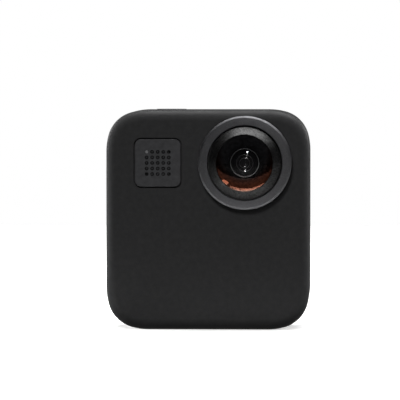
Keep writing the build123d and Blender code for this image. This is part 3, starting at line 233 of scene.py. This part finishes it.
# Depths of the bumps that are the same wherever they are used
DRAW_DEPTH = 0.004 * MM
RUBBER_DEPTH = 0.015 * MM
TRACK_DEPTH = 0.03 * MM

# The dome's coating, by the distance from a line above the lens axis as a share of the whole
COPPER_RISE = 3.4 * MM
COATING = ((0.0, (0.1, 0.1, 0.11)), (0.55, (0.17, 0.165, 0.17)), (0.72, (0.068, 0.029, 0.021)),
           (0.88, (0.07, 0.021, 0.011)), (0.95, (0.085, 0.032, 0.02)), (1.0, (0.1, 0.057, 0.044)))

# Opacity of the dome in its middle and at its flanks, and where it changes from one to the other
DOME_OPACITY = (0.3, 0.85)
DOME_FLANKS = (0.5, 0.74)


def moulded(name, color, roughness, grain=0.16 * MM, depth=0.012 * MM, drift=0.25, gloss=0.5):
    """Spark-eroded plastic: a fine even grain, with slow changes in sheen."""
    look = Look(name, color, roughness, Specular_IOR_Level=gloss)
    darker = tuple(c * (1 - drift) for c in color)
    lighter = tuple(c * (1 + drift) for c in color)
    look.vary_color(look.noise(COLOR_DRIFT, 4.0, 0.6), darker, lighter)
    look.vary_roughness(look.noise(SHEEN_DRIFT), roughness - 0.06, roughness + 0.06)
    look.bump(look.noise(grain, 2.0, 0.6), 1.0, depth)
    return look.material


def anodised(name, color, roughness, grain=0.1 * MM, depth=0.01 * MM, metallic=1.0, spread=0.45):
    """Blasted and anodised metal: a tight sparkling grain."""
    look = Look(name, color, roughness, metallic)
    look.vary_color(look.noise(grain, 2.0, 0.7), tuple(c * (1 - spread) for c in color),
                    tuple(c * (1 + spread) for c in color))
    look.vary_roughness(look.noise(METAL_SHEEN), roughness - 0.05, roughness + 0.07)
    look.bump(look.noise(grain, 2.0, 0.7), 1.0, depth)
    return look.material


def polished(name, color, roughness):
    """Machined metal with faint draw lines."""
    look = Look(name, color, roughness, 1.0)
    lines = look.noise(DRAW_LINES, 3.0, 0.6, DRAW_STRETCH)
    look.vary_roughness(lines, roughness - 0.05, roughness + 0.1)
    look.bump(lines, 0.6, DRAW_DEPTH)
    return look.material


def elastic(name, color):
    """Matt rubber, foam or woven tape."""
    look = Look(name, color, 0.75)
    look.vary_color(look.noise(RUBBER_CLOUDS), tuple(c * 0.7 for c in color),
                    tuple(c * 1.4 for c in color))
    look.bump(look.noise(RUBBER_GRAIN), 1.0, RUBBER_DEPTH)
    return look.material


def coated_glass(name):
    """The dome's coating: neutral above and in the middle, copper towards the lower rim.

    The flanks are less clear than the middle, as a strongly curved lens looks from the side.
    """
    look = Look(name, COATING[0][1], 0.0, 1.0)
    look.bands(look.from_lens_axis(DOME_EDGE_R + COPPER_RISE, COPPER_RISE), COATING)
    look.mottle(look.noise(DOME_MOTTLE, 4.0, 0.7), 0.3, 2.0)
    clear, dense = DOME_OPACITY
    grey = look.ramp(look.from_lens_axis(DOME_EDGE_R, 0), (clear, clear, clear, 1),
                     (dense, dense, dense, 1), *DOME_FLANKS)
    look.links.new(grey, look.shader.inputs["Alpha"])
    return look.material


def lens_glass(name, color, opacity, roughness, metallic):
    """A coated inner lens: partly clear, with a neutral shine and a little haze."""
    look = Look(name, color, roughness, metallic, Alpha=opacity)
    look.vary_roughness(look.noise(LENS_HAZE), roughness, roughness + 0.04)
    return look.material


def edge_look(name, grey, roughness, metallic):
    """The edge of a lens element, which catches the light."""
    look = Look(name, (grey, grey, grey), roughness, metallic)
    look.vary_color(look.noise(EDGE_CLOUDS), (grey * 0.8,) * 3, (grey * 1.1,) * 3)
    return look.material


def screen_glass_look(name):
    """The touch screen's black-backed cover glass."""
    look = Look(name, (0.004, 0.004, 0.005), 0.05, Specular_IOR_Level=0.3, Coat_Weight=0.2,
                Coat_Roughness=0.03)
    look.vary_roughness(look.noise(SCREEN_SHEEN), 0.04, 0.09)
    return look.material


def board_look(name):
    """Solder resist over faint copper tracks."""
    look = Look(name, (0.01, 0.05, 0.03), 0.35)
    tracks = look.nodes.new("ShaderNodeTexBrick")
    tracks.inputs["Scale"].default_value = 1.0
    tracks.inputs["Mortar Size"].default_value = 0.08
    tracks.inputs["Color1"].default_value = (0.008, 0.045, 0.028, 1)
    tracks.inputs["Color2"].default_value = (0.01, 0.055, 0.033, 1)
    tracks.inputs["Mortar"].default_value = (0.02, 0.09, 0.045, 1)
    look.links.new(look.place(TRACK_GRID), tracks.inputs["Vector"])
    look.links.new(tracks.outputs["Color"], look.shader.inputs["Base Color"])
    look.bump(tracks.outputs["Fac"], 0.5, TRACK_DEPTH)
    return look.material


LOOKS = {
    "housing_plastic": moulded("housing_plastic", (0.0265, 0.0265, 0.027), 0.5, drift=0.12,
                               gloss=0.13),
    "button_plastic": moulded("button_plastic", (0.024, 0.024, 0.026), 0.45),
    "grille_plastic": moulded("grille_plastic", (0.037, 0.037, 0.039), 0.45, 0.12 * MM, 0.008 * MM),
    # Near black, for the rims round the microphone holes: painted shade for the holes' dark edges
    "painted_hole_shade": moulded("painted_hole_shade", (0.004, 0.004, 0.004), 0.6, gloss=0.15),
    "card_plastic": moulded("card_plastic", (0.02, 0.02, 0.022), 0.4),
    "chip": moulded("chip", (0.03, 0.03, 0.03), 0.5),
    "ring_metal": anodised("ring_metal", (0.18, 0.18, 0.188), 0.54),
    "retainer_metal": anodised("retainer_metal", (0.06, 0.06, 0.06), 0.38, 0.34 * MM, 0.06 * MM,
                               spread=0.95),
    "barrel_metal": anodised("barrel_metal", (0.035, 0.035, 0.036), 0.6, metallic=0.0),
    "finger_metal": anodised("finger_metal", (0.035, 0.035, 0.037), 0.45, metallic=0.3),
    "frame_metal": anodised("frame_metal", (0.45, 0.45, 0.46), 0.4, 0.4 * MM, 0.03 * MM),
    "steel": polished("steel", (0.55, 0.55, 0.54), 0.25),
    "dark_steel": polished("dark_steel", (0.06, 0.06, 0.065), 0.3),
    "contact_gold": polished("contact_gold", (0.8, 0.55, 0.22), 0.2),
    "battery_case": moulded("battery_case", (0.03, 0.03, 0.035), 0.35),
    "seal_rubber": elastic("seal_rubber", (0.012, 0.012, 0.012)),
    "adhesive": elastic("adhesive", (0.008, 0.008, 0.008)),
    "tab_fabric": elastic("tab_fabric", (0.04, 0.04, 0.042)),
    "membrane": elastic("membrane", (0.03, 0.03, 0.03)),
    "light_plastic": moulded("light_plastic", (0.15, 0.15, 0.155), 0.4),
    "coated_glass": coated_glass("coated_glass"),
    "lens_glass": lens_glass("lens_glass", (0.2, 0.2, 0.21), 0.35, 0.0, 0.8),
    "glass_edge": edge_look("glass_edge", 0.9, 0.3, 0.2),
    "inner_edge": edge_look("inner_edge", 0.6, 0.28, 0.85),
    "glint_glass": lens_glass("glint_glass", (0.9, 0.9, 0.92), 0.5, 0.12, 1.0),
    "screen_glass": screen_glass_look("screen_glass"),
    "display": screen_glass_look("display"),
    "board": board_look("board"),
    "sensor": polished("sensor", (0.12, 0.08, 0.2), 0.12),
}


def dress_nodes():
    """Gives every CAD node the look of its material slot."""
    slots = {part["node"]: part["material_slot"] for part in frame["record"]["subparts"]}
    for name, node in frame["nodes"].items():
        node.data.materials.clear()
        node.data.materials.append(LOOKS[slots[name]])


# The lenses, turned finely in place of the CAD's plain ones


def lathe(name, profile, centre, side, look, closed):
    """Turns corner points of radius and depth about the lens axis.

    Depth runs outwards from the middle of the body, and side is -1 in front, 1 behind.
    """
    mesh = bpy.data.meshes.new(name)
    build = bmesh.new()
    rings = []
    for radius, depth in profile:
        if radius < TIP_R:
            rings.append([build.verts.new((centre.x, side * depth, centre.z))])
            continue
        ring = []
        for step in range(LATHE_SEGMENTS):
            turn = 2 * math.pi * step / LATHE_SEGMENTS
            ring.append(build.verts.new((centre.x + radius * math.cos(turn), side * depth,
                                         centre.z + radius * math.sin(turn))))
        rings.append(ring)
    pairs = list(zip(rings, rings[1:]))
    if closed:
        pairs.append((rings[-1], rings[0]))
    for inner, outer in pairs:
        for step in range(LATHE_SEGMENTS):
            after = (step + 1) % LATHE_SEGMENTS
            if len(inner) == 1:
                corners = [inner[0], outer[step], outer[after]]
            elif len(outer) == 1:
                corners = [inner[step], outer[0], inner[after]]
            else:
                corners = [inner[step], outer[step], outer[after], inner[after]]
            build.faces.new(corners)
    bmesh.ops.recalc_face_normals(build, faces=build.faces)
    build.to_mesh(mesh)
    build.free()
    mesh.materials.append(look)
    mesh.shade_smooth()
    mesh.set_sharp_from_angle(angle=math.radians(SHARP_DEGREES))
    return new_object(name, mesh)


def soften(profile, radius):
    """Rounds the corners of a closed profile whose sides are long enough."""
    rounded = []
    count = len(profile)
    for index, point in enumerate(profile):
        here = Vector(point)
        before = Vector(profile[index - 1]) - here
        after = Vector(profile[(index + 1) % count]) - here
        cut = min(radius, before.length * CORNER_SHARE, after.length * CORNER_SHARE)
        start = here + before.normalized() * cut
        end = here + after.normalized() * cut
        for step in range(CORNER_STEPS + 1):
            t = step / CORNER_STEPS
            bent = start * (1 - t) ** 2 + here * 2 * t * (1 - t) + end * t ** 2
            rounded.append((bent.x, bent.y))
    return rounded


def dome_profile(edge_r, edge_depth, bulge, steps=DOME_STEPS):
    """A spherical face from the axis out to its edge."""
    sphere_r = (edge_r ** 2 + bulge ** 2) / (2 * bulge)
    centre = edge_depth + bulge - sphere_r
    spread = math.asin(edge_r / sphere_r)
    turns = [spread * i / steps for i in range(steps + 1)]
    return [(sphere_r * math.sin(turn), centre + sphere_r * math.cos(turn)) for turn in turns]


def depths(name):
    """How far out a node starts and ends, both from the middle of the body in metres."""
    low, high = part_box(name)
    return min(abs(low[1]), abs(high[1])), max(abs(low[1]), abs(high[1]))


def reach(name):
    """The radius of a round node."""
    low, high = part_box(name)
    return (high[0] - low[0]) / 2


def turned_piece(name, profile, side, slot, node=None, closed=True, offset=(0, 0, 0)):
    """A lathed lens piece in its look, in place of a CAD node where one is named."""
    centre = node_centre("front_lens_ring") + Vector(offset)
    piece = lathe(name, profile, centre, side, LOOKS[slot], closed)
    if node:
        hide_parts(node)
    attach(piece, "root")


def round_section(radius, depth, section):
    """The round profile of a thin ring."""
    turns = [2 * math.pi * step / EDGE_RING_SIDES for step in range(EDGE_RING_SIDES)]
    return [(radius + section * math.cos(turn), depth + section * math.sin(turn)) for turn in turns]


def ring_and_retainer(side, label):
    """The outer ring, the retaining ring and the shim in the groove between them."""
    half_depth = depths("rear_cover")[1]
    ring_base, ring_top = depths(label + "_lens_ring")
    ring_r = reach(label + "_lens_ring")
    retainer_r = reach(label + "_lens_retainer")
    barrel_top, edge_depth = depths(label + "_lens_retainer")

    ring_inner = retainer_r + GROOVE_WIDTH
    skirt = ring_inner + RING_SKIRT_WALL
    seat = half_depth - RING_SEAT_DEPTH
    edge_top = ring_top - RING_FACE_DROP
    turned_piece(label + "_outer_ring", soften([
        (ring_inner, ring_base), (skirt, ring_base), (skirt, seat), (ring_r, seat),
        (ring_r, edge_top - RING_CHAMFER), (ring_r - RING_CHAMFER, edge_top),
        (ring_inner + RING_INNER_EDGE, ring_top), (ring_inner, ring_top - RING_INNER_EDGE),
    ], RING_ROUNDING), side, "ring_metal", label + "_lens_ring")

    lip_r = DOME_EDGE_R + LIP_GAP
    bore = reach(label + "_dome_lens") + FIT
    lip_depth = barrel_top + DOME_FLANGE_HEIGHT + FIT
    skirt_top = barrel_top + RETAINER_SKIRT
    turned_piece(label + "_retaining_ring", soften([
        (bore, barrel_top), (retainer_r, barrel_top), (retainer_r, skirt_top),
        (lip_r + LIP_LAND, edge_depth), (lip_r, edge_depth), (lip_r, lip_depth), (bore, lip_depth),
    ], RETAINER_ROUNDING), side, "retainer_metal", label + "_lens_retainer")

    shim_top = skirt_top - SHIM_DROP
    turned_piece(label + "_groove_shim", [
        (retainer_r - SHIM_WIDTH, shim_top - SHIM_HEIGHT),
        (retainer_r + SHIM_WIDTH, shim_top - SHIM_HEIGHT),
        (retainer_r + SHIM_WIDTH, shim_top), (retainer_r - SHIM_WIDTH, shim_top),
    ], side, "retainer_metal", offset=SHIM_OFFSET)


def dome(side, label):
    """The strongly curved outer glass with its hollow and its flange."""
    barrel_top, edge_depth = depths(label + "_lens_retainer")
    apex = depths(label + "_dome_lens")[1]
    flange_r = reach(label + "_dome_lens")
    hollow = apex - DOME_CENTRE_THICKNESS - barrel_top
    flange_top = barrel_top + DOME_FLANGE_HEIGHT
    outside = dome_profile(DOME_EDGE_R, edge_depth, apex - edge_depth)
    flange = [(DOME_EDGE_R, flange_top), (flange_r, flange_top), (flange_r, barrel_top)]
    inside = dome_profile(DOME_HOLLOW_R, barrel_top, hollow)
    turned_piece(label + "_glass_dome", outside + flange + inside[::-1], side,
                 "coated_glass", label + "_dome_lens", closed=False)


def inner_lenses(side, label):
    """The second lens, the bright edges on it and the small coated faces behind it."""
    base, tip = depths(label + "_second_lens")
    rim_r = reach(label + "_second_lens")
    face_r = rim_r - SECOND_LENS_RIM
    rim_top = base + SECOND_LENS_HEIGHT
    front = dome_profile(face_r, rim_top, tip - rim_top)
    back = dome_profile(SECOND_LENS_HOLLOW_R, base, SECOND_LENS_HOLLOW)
    turned_piece(label + "_second_glass", front + [(rim_r, rim_top), (rim_r, base)] + back[::-1],
                 side, "lens_glass", label + "_second_lens", closed=False)
    sphere_r = (face_r ** 2 + (tip - rim_top) ** 2) / (2 * (tip - rim_top))
    for index, (ring_radius, section, slot) in enumerate(EDGE_RINGS):
        depth = tip - sphere_r + math.sqrt(sphere_r ** 2 - ring_radius ** 2)
        turned_piece(label + "_glass_edge_" + str(index + 1),
                     round_section(ring_radius, depth, section), side, slot)
    for index, (lens_r, bulge) in enumerate(FINE_LENSES):
        low = base - FINE_LENS_PITCH * index
        profile = dome_profile(lens_r, low, bulge, FINE_LENS_STEPS)
        turned_piece(label + "_fine_lens_" + str(index + 1), profile, side, "glint_glass",
                     closed=False)


def lens_group(side, label):
    """Ring, retainer and all the glass of one side."""
    ring_and_retainer(side, label)
    dome(side, label)
    inner_lenses(side, label)


# Microphone grilles


# Row from the bottom and column from the left, seen from the front, of the holes without a post
OPEN_HOLES = ((0, 0), (0, 4), (4, 4), (4, 0))
LIGHT_HOLE = (4, 0)
HOLE_COUNT = 5
HOLE_PITCH = 1.74 * MM

# The near-black rims, painted shade for the dark edge of each hole, with their middle at a depth
# below the face
RIM_R = 0.5 * MM
RIM_SECTION = 0.08 * MM
RIM_DEPTH = 0.04 * MM
RIM_SEGMENTS = 32
RIM_SIDES = 10

# The posts, with their rounded top and their foot below the face
NUB_R = 0.26 * MM
NUB_TOP = 0.06 * MM
NUB_BASE = 0.4 * MM
NUB_TOP_SHARE = 0.7
NUB_SEGMENTS = 16


def nub(build, middle, face, side):
    """The rounded post in the middle of a blind hole, a little below the face."""
    loops = []
    for radius, depth in ((NUB_R, NUB_BASE), (NUB_R, NUB_TOP + NUB_R / 3),
                          (NUB_R * NUB_TOP_SHARE, NUB_TOP)):
        loop = []
        for step in range(NUB_SEGMENTS):
            turn = 2 * math.pi * step / NUB_SEGMENTS
            loop.append(build.verts.new((middle[0] + radius * math.cos(turn), side * (face - depth),
                                         middle[1] + radius * math.sin(turn))))
        loops.append(loop)
    for near, far in zip(loops, loops[1:]):
        for step in range(NUB_SEGMENTS):
            after = (step + 1) % NUB_SEGMENTS
            build.faces.new([near[step], near[after], far[after], far[step]])
    build.faces.new(loops[-1])


def torus(build, middle, depth, radius, section, side):
    """One ring of round section, its middle at a depth."""
    loops = []
    for step in range(RIM_SEGMENTS):
        turn = 2 * math.pi * step / RIM_SEGMENTS
        loop = []
        for corner in range(RIM_SIDES):
            tilt = 2 * math.pi * corner / RIM_SIDES
            out = radius + section * math.cos(tilt)
            loop.append(build.verts.new((middle[0] + out * math.cos(turn),
                                         side * (depth + section * math.sin(tilt)),
                                         middle[1] + out * math.sin(turn))))
        loops.append(loop)
    for step in range(RIM_SEGMENTS):
        here = loops[step]
        there = loops[(step + 1) % RIM_SEGMENTS]
        for corner in range(RIM_SIDES):
            after = (corner + 1) % RIM_SIDES
            build.faces.new([here[corner], there[corner], there[after], here[after]])


def grille_part(name, slot, side, label, shape):
    """A mesh with one small shape per microphone hole."""
    centre = node_centre(label + "_mic_grille")
    face = depths(label + "_mic_grille")[1]
    mesh = bpy.data.meshes.new(name)
    build = bmesh.new()
    for row in range(HOLE_COUNT):
        for column in range(HOLE_COUNT):
            middle = (centre.x + (column - HOLE_COUNT // 2) * HOLE_PITCH,
                      centre.z + (row - HOLE_COUNT // 2) * HOLE_PITCH)
            shape(build, (row, column), middle, face, side)
    bmesh.ops.recalc_face_normals(build, faces=build.faces)
    build.to_mesh(mesh)
    build.free()
    mesh.materials.append(LOOKS[slot])
    mesh.shade_smooth()
    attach(new_object(name, mesh), "root")


def hole_shade_rim_shape(build, hole, middle, face, side):
    """A fine near-black rim, hardly proud of the face, round every hole but that of the light:
    painted shade for the hole's dark edge.
    """
    if hole != LIGHT_HOLE:
        torus(build, middle, face - RIM_DEPTH, RIM_R, RIM_SECTION, side)


def post_shape(build, hole, middle, face, side):
    """A post in every blind hole."""
    if hole not in OPEN_HOLES:
        nub(build, middle, face, side)


def grille(side, label):
    """The painted-shade rims and the posts of one grille."""
    grille_part(label + "_grille_hole_shade_rims", "painted_hole_shade", side, label, hole_shade_rim_shape)
    grille_part(label + "_grille_posts", "grille_plastic", side, label, post_shape)


# Studio


# Left, right, near and far edge of the floor, and the near edge of the dark flag in front of it
FLOOR = (-1.2, 1.2, -0.38, 0.6)
FLAG_FAR = -0.075
FLOOR_GLOW = 0.42
BOUNCE_GLOW = 0.36
BOUNCE_LEVEL = -1 * MM
FLAG_LEVEL = 1 * MM
CARD_LEVEL = 2 * MM

# Name, left, right and near edge, and glow of the cards that the domes mirror at their lower edge
CARDS = (("card_left", -0.052, -0.030, -0.042, 5.0), ("card_right", -0.020, 0.059, -0.034, 2.6))
CARD_FAR = -0.024

# Name, place, target, width and height, power, seen in reflections, seen by the camera
LAMPS = (
    ("top_box", (0.12, 0.14, 0.6), (0.12, 0.14, 0), (0.7, 0.56), 5.5, True, True),
    ("dome_spot", (0.087, -0.62, 0.366), (0.011, 0, 0.052), (0.06, 0.06), 0.35, True, True),
    ("key", (-0.15, -0.7, 0.6), (0.011, 0, 0.045), (0.2, 0.2), 5.0, False, True),
    ("low_spot", (0.014, -0.14, 0.007), (0.012, 0, 0.05), (0.006, 0.014), 0.006, True, False),
    ("side_left", (-0.5, 0.11, 0.12), (0, 0.01, 0.035), (0.25, 0.25), 5.6, False, True),
    ("side_right", (0.5, 0.11, 0.12), (0, 0.01, 0.035), (0.25, 0.25), 2.8, False, True),
    ("rear_left", (-0.5, 0.5, 0.25), (0, 0, 0.035), (0.3, 0.3), 1.0, True, True),
    ("rear_right", (0.5, 0.5, 0.25), (0, 0, 0.035), (0.3, 0.3), 1.0, True, True),
)
ROOM_GREY = (0.022, 0.022, 0.023, 1)


def white_look(name, glow):
    look = Look(name, (0.86, 0.86, 0.85), 0.6)
    look.set("Emission Color", (1, 1, 1, 1))
    look.set("Emission Strength", glow)
    return look.material


def area_light(name, place, target, size, power):
    lamp = bpy.data.lights.new(name, "AREA")
    lamp.shape = "RECTANGLE"
    lamp.size = size[0]
    lamp.size_y = size[1]
    lamp.energy = power
    holder = bpy.data.objects.new(name, lamp)
    bpy.context.scene.collection.objects.link(holder)
    holder.location = place
    holder.rotation_mode = "QUATERNION"
    holder.rotation_quaternion = (Vector(target) - Vector(place)).to_track_quat("-Z", "Y")
    return holder


def room():
    """White behind everything that the camera sees, dim all round for the reflections."""
    world = bpy.data.worlds.new("room")
    world.use_nodes = True
    nodes = world.node_tree.nodes
    links = world.node_tree.links
    path = nodes.new("ShaderNodeLightPath")
    dim = nodes["Background"]
    dim.inputs["Color"].default_value = ROOM_GREY
    white = nodes.new("ShaderNodeBackground")
    white.inputs["Color"].default_value = (1, 1, 1, 1)
    mix = nodes.new("ShaderNodeMixShader")
    links.new(path.outputs["Is Camera Ray"], mix.inputs["Fac"])
    links.new(dim.outputs["Background"], mix.inputs[1])
    links.new(white.outputs["Background"], mix.inputs[2])
    links.new(mix.outputs["Shader"], nodes["World Output"].inputs["Surface"])
    bpy.context.scene.world = world


def flat(name, x0, x1, y0, y1, z, look):
    """A level plane of the studio."""
    mesh = bpy.data.meshes.new(name)
    corners = [(x0, y0, z), (x1, y0, z), (x1, y1, z), (x0, y1, z)]
    mesh.from_pydata(corners, [], [(0, 1, 2, 3)])
    mesh.materials.append(look)
    piece = new_object(name, mesh)
    return piece


def unseen(piece, diffuse):
    """Hides a studio plane from the camera; without diffuse it only shows in reflections."""
    piece.visible_camera = False
    piece.visible_diffuse = diffuse
    piece.visible_shadow = False


def studio():
    """White floor that the camera alone sees, planes for the reflections, and the lamps."""
    floor = flat("floor", *FLOOR, 0, white_look("floor_white", FLOOR_GLOW))
    floor.visible_glossy = False
    floor.visible_diffuse = False
    grey = Look("bounce_grey", (0.02, 0.02, 0.02), 0.9, Emission_Color=(1, 1, 1, 1),
                Emission_Strength=BOUNCE_GLOW)
    unseen(flat("floor_bounce", *FLOOR, BOUNCE_LEVEL, grey.material), diffuse=False)
    black = Look("flag_black", (0.01, 0.01, 0.01), 0.9)
    unseen(flat("flag", *FLOOR[:3], FLAG_FAR, FLAG_LEVEL, black.material), diffuse=True)
    for name, left, right, near, glow in CARDS:
        white = white_look(name + "_white", glow)
        unseen(flat(name, left, right, near, CARD_FAR, CARD_LEVEL, white), diffuse=False)
    for name, place, target, size, power, mirrored, seen in LAMPS:
        lamp = area_light(name, place, target, size, power)
        lamp.visible_glossy = mirrored
        lamp.visible_camera = seen
    room()
    bpy.context.scene.view_settings.view_transform = "Standard"


# Camera, with angles in degrees


CAMERA_AZIMUTH = 2.6
CAMERA_ELEVATION = 2.6
CAMERA_DISTANCE = 1.0
CAMERA_ROLL = -0.04
BODY_MIDDLE = (0, -0.0088, 0.0345)
AIM_ACROSS = -2.51 * MM
AIM_UP = 6.25 * MM
PIXELS_PER_MM = 3.18
FRAME_PIXELS = 400
SENSOR_WIDTH = 36.0


def camera():
    """Looks at the body from a little to the right and above."""
    lens = bpy.data.cameras.new("view")
    lens.sensor_width = SENSOR_WIDTH
    lens.lens = PIXELS_PER_MM * CAMERA_DISTANCE / MM * SENSOR_WIDTH / FRAME_PIXELS
    holder = bpy.data.objects.new("view", lens)
    bpy.context.scene.collection.objects.link(holder)
    azimuth = math.radians(CAMERA_AZIMUTH)
    elevation = math.radians(CAMERA_ELEVATION)
    level = math.cos(elevation)
    back = Vector((math.sin(azimuth) * level, -math.cos(azimuth) * level, math.sin(elevation)))
    across = Vector((math.cos(azimuth), math.sin(azimuth), 0))
    aim = Vector(BODY_MIDDLE) + across * AIM_ACROSS + back.cross(across) * AIM_UP
    holder.location = aim + back * CAMERA_DISTANCE
    holder.rotation_mode = "QUATERNION"
    roll = Quaternion((0, 0, 1), math.radians(CAMERA_ROLL))
    holder.rotation_quaternion = (-back).to_track_quat("-Z", "Y") @ roll
    bpy.context.scene.camera = holder


dress_nodes()
lens_group(-1, "front")
lens_group(1, "rear")
grille(-1, "front")
grille(1, "rear")
studio()
camera()
